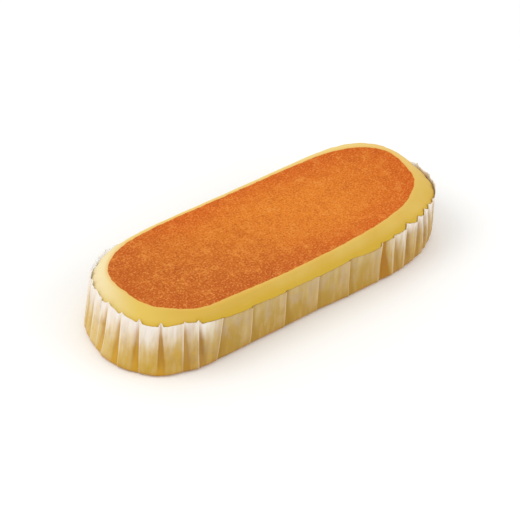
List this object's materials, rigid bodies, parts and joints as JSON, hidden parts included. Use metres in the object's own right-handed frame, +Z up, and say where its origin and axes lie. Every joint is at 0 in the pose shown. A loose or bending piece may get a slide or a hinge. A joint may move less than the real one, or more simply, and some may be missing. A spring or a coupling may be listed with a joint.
{
  "type": "banana cake in a paper case",
  "caption": "Oblong round-ended banana sponge cake with a flat browned top and pale shoulder, sitting in a white pleated paper baking case.",
  "frame": {"origin": "centre of the paper case's outline on its flat underside", "axes": "+X along the cake, +Y across it, +Z up out of the case; the side with the large overlapping fold faces -Y"},
  "size_m": [0.1502, 0.0546, 0.0246],
  "materials": {
    "browned_sponge": "dry, finely pored, golden brown on top and pale yellow on the shoulder",
    "baking_paper": "thin, slightly see-through greaseproof paper with a faint sheen"
  },
  "bodies": {
    "root": {"cake": "browned_sponge", "paper_case": "baking_paper"}
  },
  "joints": []
}
